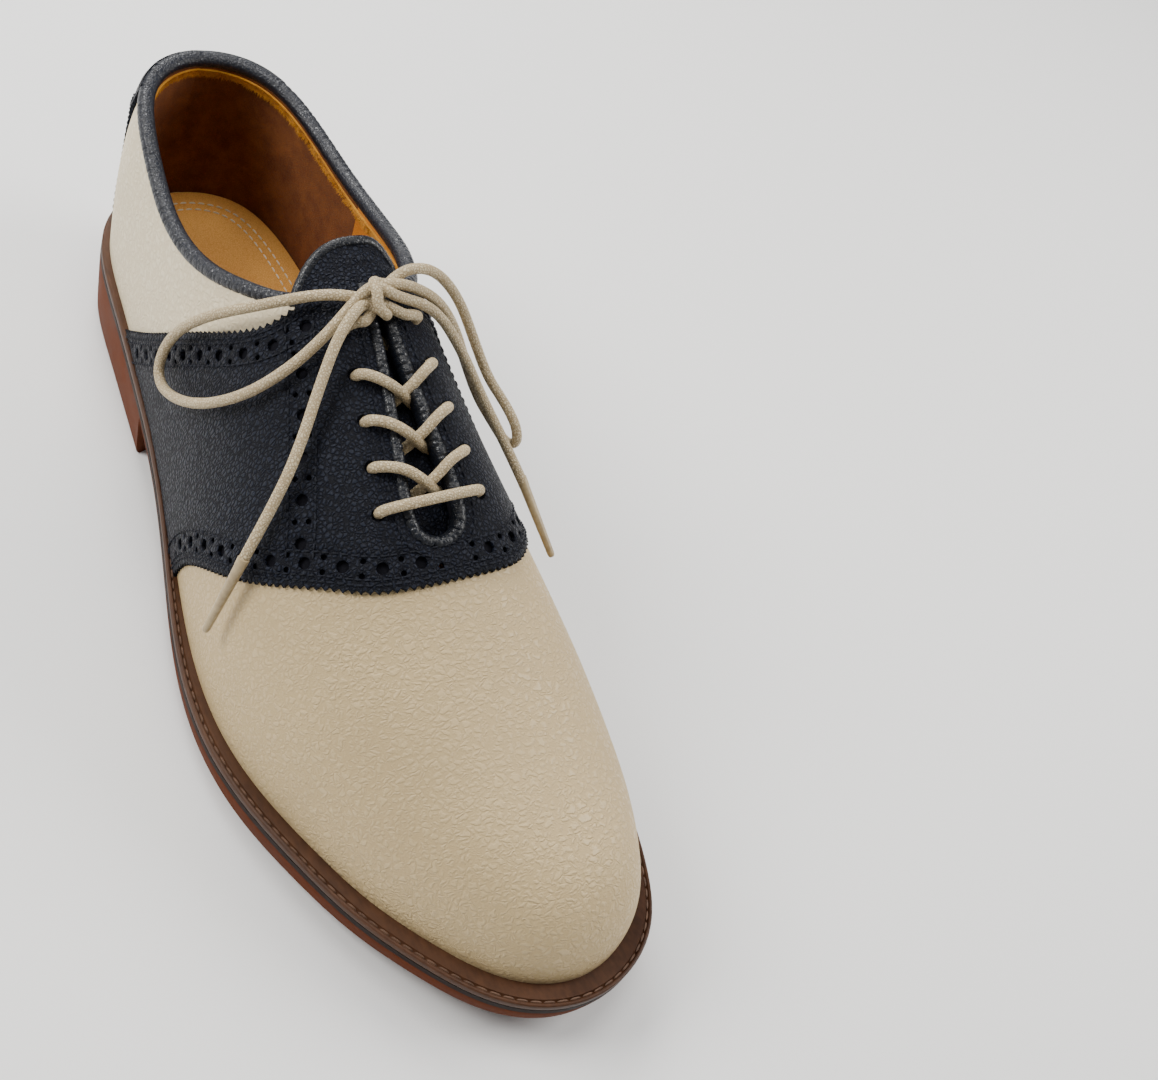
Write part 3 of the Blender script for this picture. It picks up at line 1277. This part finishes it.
def make_tongue():
    w, t = np.meshgrid(np.linspace(-1, 1, 61), np.linspace(0, 1, 97))
    start = tongue_end(w)
    x = start + (TONGUE_FRONT - start) * t
    y = TONGUE_Y + w * TONGUE_HALF + 0.8 * w * t
    rng = np.random.default_rng(11)
    ripple = np.zeros_like(x)
    for _ in range(16):
        angle, size = rng.uniform(-0.5, 0.5), rng.uniform(3.0, 9.0)
        wave = (x * np.cos(angle) + y * np.sin(angle)) / size * 2 * np.pi
        ripple += np.sin(wave + rng.uniform(0, 6.3)) * size
    ripple *= 0.12 / np.abs(ripple).max() * (1 + 3.0 * np.exp(-((x + 40) / 9) ** 2))
    edge = 0.4 * np.exp(-(1 - np.abs(w)) / 0.03)
    outer, inner = above(x, y, 4.25 + ripple + edge)[0], above(x, y, 5.4)[0]
    layered("tongue", NAVY, "navy_leather", [(outer, inner)], "tongue")
    x, y = start + 0.9 + (TONGUE_FRONT - 0.8 - start) * t, TONGUE_Y + w * (TONGUE_HALF - 0.8) + 0.8 * w * t
    layered("tongue_lining", TAN, "tan_leather", [[above(x, y, d)[0] for d in (5.45, 6.2)]], "tongue")
    lip_w = np.linspace(-0.97, 0.97, 130)
    lip_x, lip_y = tongue_end(lip_w) + 1.3, TONGUE_Y + lip_w * TONGUE_HALF
    lip = even(*above(lip_x, lip_y, 4.9), 0.35)
    rolled("tongue_edge", NAVY_PIPED, *lip, 1.25, 1.5, 17, 0.12, sides=18, body="tongue")


make_tongue()


# ---------------------------------------------------------------- lace
LACE = leather("waxed_lace", (0.60, 0.50, 0.33), (0.36, 0.27, 0.15), 1250, 0.00022, 0.5, cell=0.26)
TIP = grained("waxed_tip", (0.27, 0.20, 0.11), (0.42, 0.33, 0.19), 700, 0.00003, 0.3)
LACE_R = 1.5
OVER = -1.45 - LACE_R - 1.1
LOOP_LATERAL = [(-21.5, -6.5, 106.5), (-24.5, -14, 104.5), (-29.5, -24.5, 97.5), (-41.5, -33.5, 82.5),
                (-50.5, -37, 67), (-52, -39, 53), (-44, -40, 50.5), (-26, -39.5, 64.5), (-13, -33.5, 81.5),
                (-10.5, -23.5, 93.5), (-14, -13.5, 100.5), (-18.2, -6.2, 105)]
LOOP_MEDIAL = [(-23.5, 7, 107.5), (-24, 13, 111.5), (-25.5, 23, 107), (-23.5, 32, 97), (-19, 38.5, 84.5),
               (-12.5, 43.5, 74), (-5.5, 47.5, 69.5), (1.5, 49, 66.5), (4, 49.5, 61.5), (0, 48.5, 58),
               (-5.5, 45.5, 62), (-11.5, 41.5, 67.5), (-16.5, 36.5, 78), (-19.5, 30.5, 90.5),
               (-20, 22, 102), (-20, 10.5, 109.5)]
END_LATERAL = [(-16.2, -5, 107.8), (-10.5, -12.5, 103), (-1, -20, 94.5), (8, -26.5, 87), (16.5, -34, 78),
               (24, -44.5, 60)]
END_MEDIAL = [(-17.5, 6.5, 108), (-16.5, 19.5, 102.5), (-12.5, 30, 88.5), (-6, 38.5, 73.5), (4, 45.5, 62),
              (14, 49, 55)]
TIP_LATERAL, TIP_MEDIAL = (28.0, -52.0, 38.0), (34.0, 52.5, 44.0)
RISERS = {-1: [(-14.6, -5.6, 103.2), (-14.0, -4.6, 103.9), (-13.4, -3.2, 104.3)],
          1: [(-14.8, 11.8, 102.9), (-14.2, 10.2, 103.8), (-13.8, 8.2, 104.4)]}
KNOT = np.array((-18.3, 0.9, 107.4))
KNOT_AXES = unit(np.array([(0.46, 0.82, 0.33), (0.78, -0.19, -0.59), (0.42, -0.53, 0.74)]))


def at_throat(x, off, d):
    """Point at depth d, off sideways from the middle of the lace opening."""
    return tuple(float(v) for v in above(x, throat_centre(x) + off, d)[0])


def crossing_run(k, side):
    """From under hole k on one side, up through the opening, over the other facing and into its next hole."""
    x, half = EYELETS[k]
    nx, nhalf = EYELETS[k - 1]
    rise = 1.2 * side
    return [at_throat(x - 0.5, side * (half - 1.5), 4.2), at_throat(x - 2.0, side * 7.0, 5.2),
            at_throat(nx + 8.6, side * 2.6, 3.4 - rise), at_throat(nx + 6.6, -side * 2.2, -2.2 - rise),
            at_throat(nx + 3.0, -side * 6.6, OVER - 0.4),
            at_throat(nx + 0.6, -side * (nhalf - 1.0), OVER + 0.4), at_throat(nx, -side * nhalf, 1.2)]


def facing_run(side):
    """Half of the lacing, from the bottom bar up to the riser."""
    x, half = EYELETS[4]
    route = [at_throat(x + 0.3, side * 5.0, OVER - 0.9),
             at_throat(x - 0.5, side * (half - 1.2), OVER + 0.2), at_throat(x - 0.6, side * half, 1.4)]
    for step, k in enumerate((4, 3, 2)):
        route += crossing_run(k, side * (-1) ** step)
    x, half = EYELETS[1]
    route += [at_throat(x - 1.5, -side * (half - 2.0), 4.4), at_throat(-10.0, -side * 6.0, 5.0),
              at_throat(-14.5, side * 7.0, 4.4), at_throat(-16.0, side * 10.0, 1.0),
              at_throat(-16.2, side * 10.0, -3.0)]
    return route


def in_knot(across, down, out):
    """Point of the bow's middle: across to the medial side, down its face and out from it."""
    return tuple(float(v) for v in KNOT + np.array((across, down, out)) @ KNOT_AXES)


def make_lace():
    halves = {side: facing_run(side) + RISERS[side] for side in (-1, 1)}
    wrap = [(1.2, -3.6, -0.6), (-0.8, -4.4, 1.2), (0.9, -1.2, 3.7), (0.8, 2.6, 3.3), (3.2, 5.0, 1.2),
            (2.2, 3.6, -1.8), (-1.8, 1.6, -1.6)]
    through = [(-2.6, -1.6, 1.8), (0.2, -3.0, 1.7), (3.6, -1.4, 0.9)]
    wrap, through = [[in_knot(*p) for p in points] for points in (wrap, through)]
    lateral_half = halves[-1] + [in_knot(-0.5, 1.2, -2.6)] + LOOP_MEDIAL + wrap + END_LATERAL
    medial_half = halves[1] + [in_knot(0.8, 1.0, -0.6)] + LOOP_LATERAL + through + END_MEDIAL
    route = lateral_half[::-1] + medial_half
    curve = bpy.data.curves.new("lace", "CURVE")
    curve.dimensions = "3D"
    spline = curve.splines.new("NURBS")
    spline.points.add(len(route) - 1)
    for point, place in zip(spline.points, route):
        point.co = (*[v * MM for v in place], 1)
    spline.order_u = 3
    spline.use_endpoint_u = True
    spline.resolution_u = 8
    return curve


lace_curve = make_lace()


def curve_points(curve):
    """The curve's own line in millimetres."""
    holder = placed("line", curve)
    line = bpy.data.meshes.new_from_object(holder.evaluated_get(bpy.context.evaluated_depsgraph_get()))
    points = np.array([v.co for v in line.vertices]) / MM
    bpy.data.objects.remove(holder)
    bpy.data.meshes.remove(line)
    return points


lace_line = curve_points(lace_curve)
lace_curve.bevel_depth = LACE_R * MM
lace_curve.bevel_resolution = 5
lace_curve.use_fill_caps = True
lace = placed("lace", lace_curve)
lace_curve.materials.append(LACE)
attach(lace, "shoe")
for name in ("lace_crossings", "lace_knot", "lace_loop_lateral", "lace_loop_medial", "lace_end_lateral",
             "lace_end_medial"):
    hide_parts(name)


def make_aglet(name, begin, tip):
    begin, tip = np.array(begin, float), np.array(tip, float)
    along = unit(tip - begin)
    side = unit(np.cross(along, (0, 0, 1.0)))
    up = np.cross(side, along)
    length = np.linalg.norm(tip - begin)
    profile = [(-2.4, 1.50), (-2.2, 1.62), (0.2, 1.58), (0.8, 1.50), (length * 0.4, 1.34),
               (length * 0.75, 1.18), (length - 1.2, 1.08), (length - 0.35, 0.9), (length, 0.45)]
    angle = turns(16)
    rings = [begin + along * x + r * (side * np.cos(angle)[:, None] + up * np.sin(angle)[:, None])
             for x, r in profile]
    sheet = Sheet()
    sheet.rings(rings)
    return sheet.piece(name, TIP, "lace_cotton")


aglets = [make_aglet("aglet_lateral", END_LATERAL[-1], TIP_LATERAL),
          make_aglet("aglet_medial", END_MEDIAL[-1], TIP_MEDIAL)]
[v * MM for v in END_LATERAL[-1]]

# ---------------------------------------------------------------- inner parts kept from the CAD
STEEL = grained("steel", (0.42, 0.42, 0.43), (0.58, 0.58, 0.60), 1800, 0.00002, 0.35)
STEEL.node_tree.nodes["Principled BSDF"].inputs["Metallic"].default_value = 1.0
CORK = grained("cork", (0.22, 0.11, 0.045), (0.52, 0.33, 0.17), 500, 0.0002, 0.9)
BOARD = grained("board", (0.38, 0.25, 0.14), (0.56, 0.41, 0.26), 900, 0.00008, 0.8)
CANVAS = grained("canvas", (0.50, 0.45, 0.35), (0.66, 0.61, 0.50), 2400, 0.00012, 0.9, stretch=(1, 1, 0.5))
KEPT = {"midsole": DARK_RUBBER, "shank": STEEL, "cork_filler": CORK, "insole_board": BOARD, "toe_puff": BOARD,
        "heel_counter": BOARD, "interlining": CANVAS, "vamp_lining": TAN}
for name, material in KEPT.items():
    for material_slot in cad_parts[name].material_slots:
        material_slot.material = material


# ---------------------------------------------------------------- camera, light and floor
def make_stage():
    camera = bpy.data.cameras.new("camera")
    camera.lens, camera.sensor_width = 47.3, 36.0
    camera.clip_start, camera.clip_end = 0.01, 20.0
    eye = placed("camera", camera)
    eye.location = (0.2248, -0.1800, 0.3795)
    eye.rotation_euler = [math.radians(a) for a in (39.02, -19.535, 60.948)]
    bpy.context.scene.camera = eye

    mesh = bpy.data.meshes.new("floor")
    mesh.from_pydata([(-3, -3, 0), (3, -3, 0), (3, 3, 0), (-3, 3, 0)], [], [(0, 1, 2, 3)])
    floor = placed("floor", mesh)
    pale, _, shader = new_material("floor_pale", 0.9, 0.1)
    shader.inputs["Base Color"].default_value = (0.86, 0.86, 0.86, 1)
    mesh.materials.append(pale)

    world = bpy.data.worlds.new("studio")
    world.use_nodes = True
    world.node_tree.nodes["Background"].inputs[0].default_value = (1.0, 1.0, 1.0, 1)
    world.node_tree.nodes["Background"].inputs[1].default_value = 0.34
    bpy.context.scene.world = world
    lamps = [("key", (-0.42, -0.72, 0.78), 0.6, 13.0, (1.0, 0.985, 0.95)),
             ("fill", (0.30, 0.85, 0.70), 0.6, 9.0, (1.0, 0.98, 0.95)),
             ("back", (-0.9, 0.15, 0.75), 0.6, 9.0, (1.0, 0.99, 0.97)),
             ("top", (-0.15, 0.05, 1.25), 0.5, 6.0, (1.0, 0.98, 0.95))]
    for name, place, size, power, colour in lamps:
        light = bpy.data.lights.new(name, "AREA")
        light.shape, light.size, light.energy, light.color = "DISK", size, power, colour
        lamp = placed(name, light)
        lamp.location = place
        lamp.rotation_euler = (Vector((0, 0, 0.03)) - Vector(place)).to_track_quat("-Z", "Y").to_euler()


make_stage()
